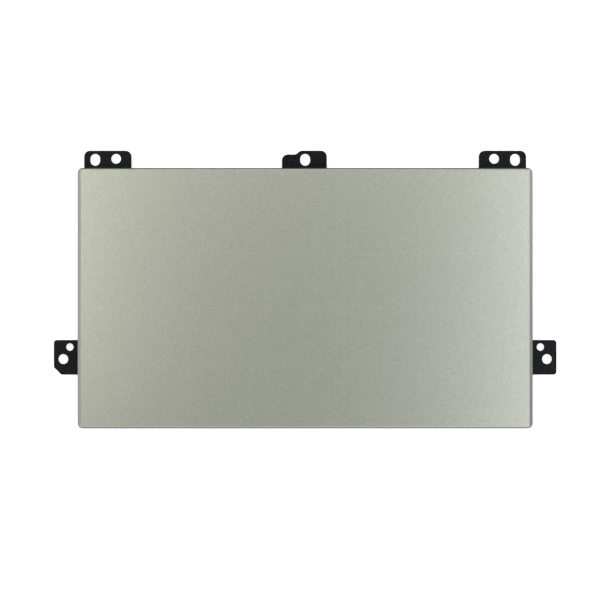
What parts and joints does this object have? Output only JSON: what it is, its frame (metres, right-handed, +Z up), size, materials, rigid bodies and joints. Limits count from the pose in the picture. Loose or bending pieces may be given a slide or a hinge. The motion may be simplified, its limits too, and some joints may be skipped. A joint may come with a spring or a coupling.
{
  "type": "laptop trackpad",
  "caption": "Laptop clickpad: bevelled satin glass on a sensor board, hung by leaf hinges from a black stamped bracket with screw tabs, over a click switch.",
  "frame": {"origin": "centre of the overall footprint, on the underside of the bracket's plate", "axes": "+X to the right, +Y from the front edge to the hinged back edge, +Z up out of the touch face"},
  "size_m": [0.1276, 0.0704, 0.003],
  "materials": {
    "satin_glass": "satin metallic print behind etched glass",
    "clear_adhesive": "matte",
    "board_laminate": "solder mask",
    "black_steel": "fine matte coat",
    "spring_steel": "rolled",
    "dark_film": "matte",
    "bond_tape": "matte",
    "foam": "open cell",
    "chip_resin": "moulded",
    "tin": "tinned",
    "capacitor_ceramic": "fired",
    "resistor_ceramic": "fired",
    "ivory_plastic": "moulded",
    "dark_plastic": "moulded",
    "gold_contact": "plated"
  },
  "bodies": {
    "bracket": {"support_bracket": "black_steel", "insulating_film": "dark_film", "hinge_leaf_left": "spring_steel", "hinge_leaf_right": "spring_steel", "bumper_left": "foam", "bumper_right": "foam"},
    "pad": {"cover_glass": "satin_glass", "glass_adhesive": "clear_adhesive", "sensor_board": "board_laminate", "hinge_tape_left": "bond_tape", "hinge_tape_right": "bond_tape", "touch_controller": "chip_resin", "controller_leads": "tin", "voltage_regulator": "chip_resin", "surge_protector": "chip_resin", "small_chip_leads": "tin", "capacitors": "capacitor_ceramic", "resistors": "resistor_ceramic", "connector_housing": "ivory_plastic", "connector_contacts": "gold_contact", "connector_anchors": "tin", "switch_base": "dark_plastic", "switch_terminals": "tin", "switch_dome": "spring_steel", "switch_cover": "spring_steel"},
    "plunger": {"switch_plunger": "ivory_plastic"},
    "latch": {"connector_latch": "dark_plastic"}
  },
  "joints": [
    {"name": "pad_click", "type": "hinge", "parent": "bracket", "child": "pad", "pos_m": [0, 0.02573, 0.0012], "axis": [1, 0, 0], "range_deg": [0, 0.21], "stiffness_Nm_per_rad": 20, "deforming": ["hinge_leaf_left", "hinge_leaf_right", "switch_dome"]},
    {"name": "plunger_press", "type": "slide", "parent": "pad", "child": "plunger", "axis": [0, 0, 1], "range_m": [0, 0.0002], "deforming": ["switch_dome"]},
    {"name": "latch_flip", "type": "hinge", "parent": "pad", "child": "latch", "pos_m": [0.008, 0.00422, 0.00078], "axis": [1, 0, 0], "range_deg": [0, 90]}
  ],
  "couplings": [
    {"joint": "plunger_press", "follows": "pad_click", "m_per_rad": 0.054}
  ]
}
